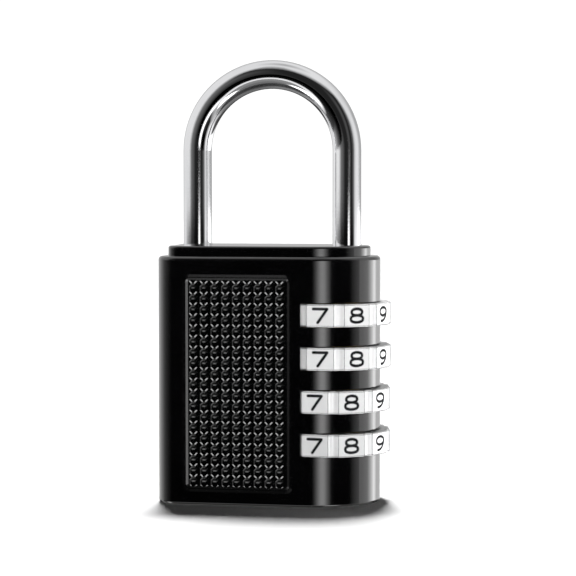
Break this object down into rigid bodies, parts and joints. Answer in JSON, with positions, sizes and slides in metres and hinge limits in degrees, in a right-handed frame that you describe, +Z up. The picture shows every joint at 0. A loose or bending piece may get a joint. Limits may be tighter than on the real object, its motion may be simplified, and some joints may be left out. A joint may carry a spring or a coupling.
{
  "type": "combination padlock",
  "caption": "Combination padlock: black enamelled body with studded grip panels, side number dials and a round chrome shackle that slides up.",
  "frame": {"origin": "middle of the overall box on the plane of the base", "axes": "+Z up along the shackle, +X towards the dials, -Y out of the front grip panel"},
  "size_m": [0.0428, 0.0224, 0.083],
  "materials": {
    "black_enamel": "gloss black enamel on die-cast zinc",
    "cap_enamel": "gloss black enamel",
    "grip_plastic": "gloss black moulded plastic",
    "shackle_chrome": "polished chrome on hardened steel",
    "dial_chrome": "satin to bright chrome on zinc",
    "digit_enamel": "black enamel fill",
    "plated_steel": "zinc-plated steel",
    "spring_steel": "spring steel",
    "sleeve_brass": "machined brass",
    "rivet_steel": "plated steel"
  },
  "bodies": {
    "housing": {"main_body": "black_enamel", "top_cap": "cap_enamel", "cap_pins": "plated_steel", "base_cover": "cap_enamel", "base_rivets": "rivet_steel", "front_grip": "grip_plastic", "rear_grip": "grip_plastic", "stack_washer": "plated_steel", "detent_spring": "spring_steel", "shackle_spring": "spring_steel", "stack_spring": "spring_steel"},
    "shackle": {"shackle": "shackle_chrome", "bridge_plate": "plated_steel", "spindle": "plated_steel"},
    "dial_1": {"dial_1": "dial_chrome", "digits_1": "digit_enamel", "clutch_sleeve_1": "sleeve_brass"},
    "dial_2": {"dial_2": "dial_chrome", "digits_2": "digit_enamel", "clutch_sleeve_2": "sleeve_brass"},
    "dial_3": {"dial_3": "dial_chrome", "digits_3": "digit_enamel", "clutch_sleeve_3": "sleeve_brass"},
    "dial_4": {"dial_4": "dial_chrome", "digits_4": "digit_enamel", "clutch_sleeve_4": "sleeve_brass"}
  },
  "joints": [
    {"name": "shackle_lift", "type": "slide", "parent": "housing", "child": "shackle", "axis": [0, 0, 1], "range_m": [0, 0.0064], "deforming": ["shackle_spring"]},
    {"name": "dial_1_turn", "type": "hinge", "parent": "housing", "child": "dial_1", "pos_m": [0.01015, 0, 0.0356], "axis": [0, 0, 1], "continuous": true, "deforming": ["detent_spring"]},
    {"name": "dial_2_turn", "type": "hinge", "parent": "housing", "child": "dial_2", "pos_m": [0.01015, 0, 0.0276], "axis": [0, 0, 1], "continuous": true, "deforming": ["detent_spring"]},
    {"name": "dial_3_turn", "type": "hinge", "parent": "housing", "child": "dial_3", "pos_m": [0.01015, 0, 0.0196], "axis": [0, 0, 1], "continuous": true, "deforming": ["detent_spring"]},
    {"name": "dial_4_turn", "type": "hinge", "parent": "housing", "child": "dial_4", "pos_m": [0.01015, 0, 0.0116], "axis": [0, 0, 1], "continuous": true, "deforming": ["detent_spring"]}
  ]
}
